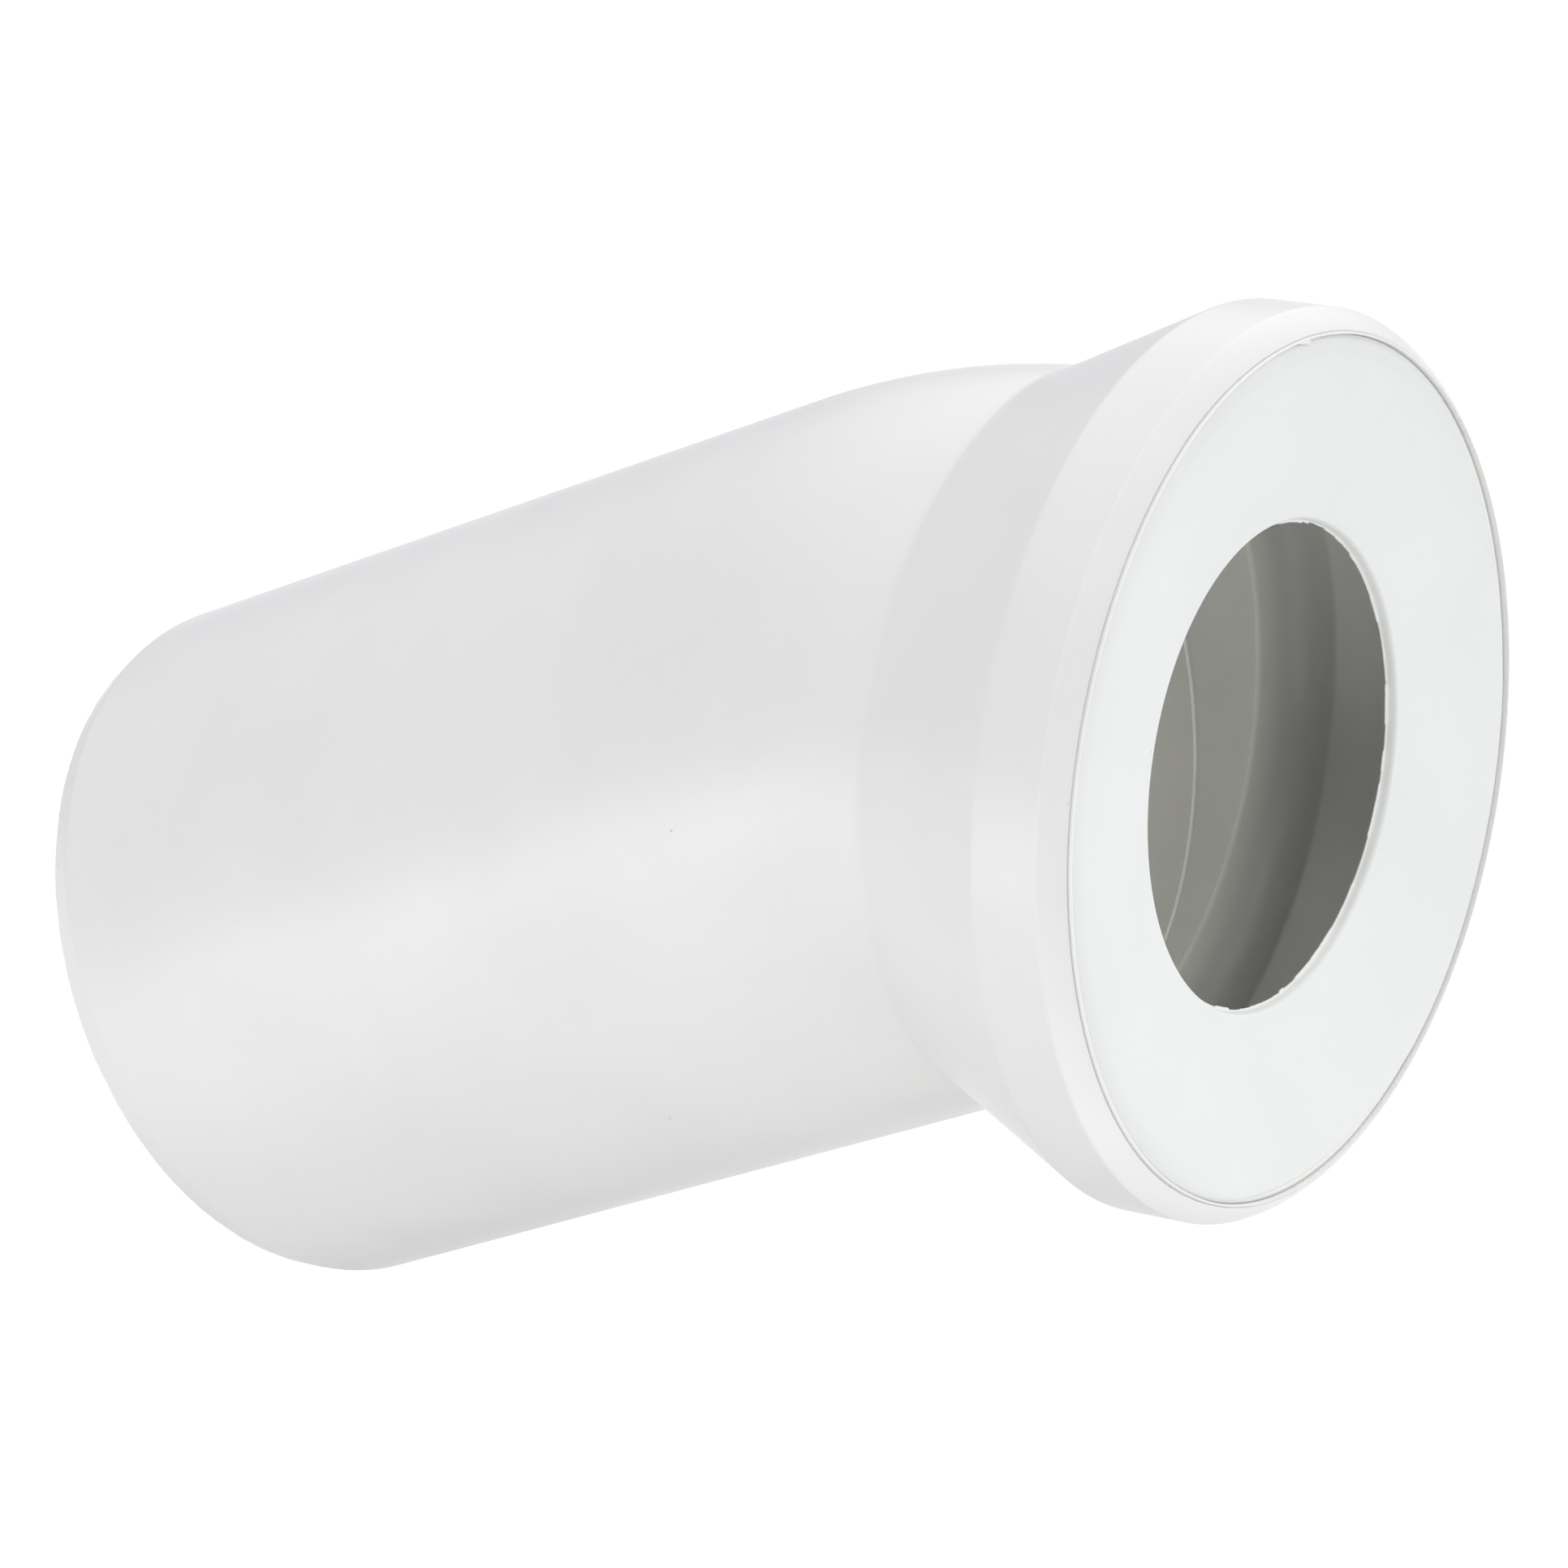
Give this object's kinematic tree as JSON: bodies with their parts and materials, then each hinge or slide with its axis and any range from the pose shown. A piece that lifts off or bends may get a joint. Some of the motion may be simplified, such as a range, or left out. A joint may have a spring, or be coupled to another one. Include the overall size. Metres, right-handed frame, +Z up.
{
  "type": "toilet pan connector",
  "caption": "Angled toilet pan connector: a plain pipe spigot bends into a flared socket whose turned-in rim holds a soft dished lip seal.",
  "frame": {"origin": "centre of the hole in the lip seal, where the pan's outlet goes in", "axes": "+X out of the socket along its axis, +Z up, the bend lies in the XZ plane and the spigot slopes down towards -X"},
  "size_m": [0.2089, 0.136, 0.1745],
  "materials": {
    "body_plastic": "glossy white moulding",
    "seal_rubber": "matt white soft rubber"
  },
  "bodies": {
    "root": {"connector_body": "body_plastic", "lip_seal": "seal_rubber"}
  },
  "joints": []
}
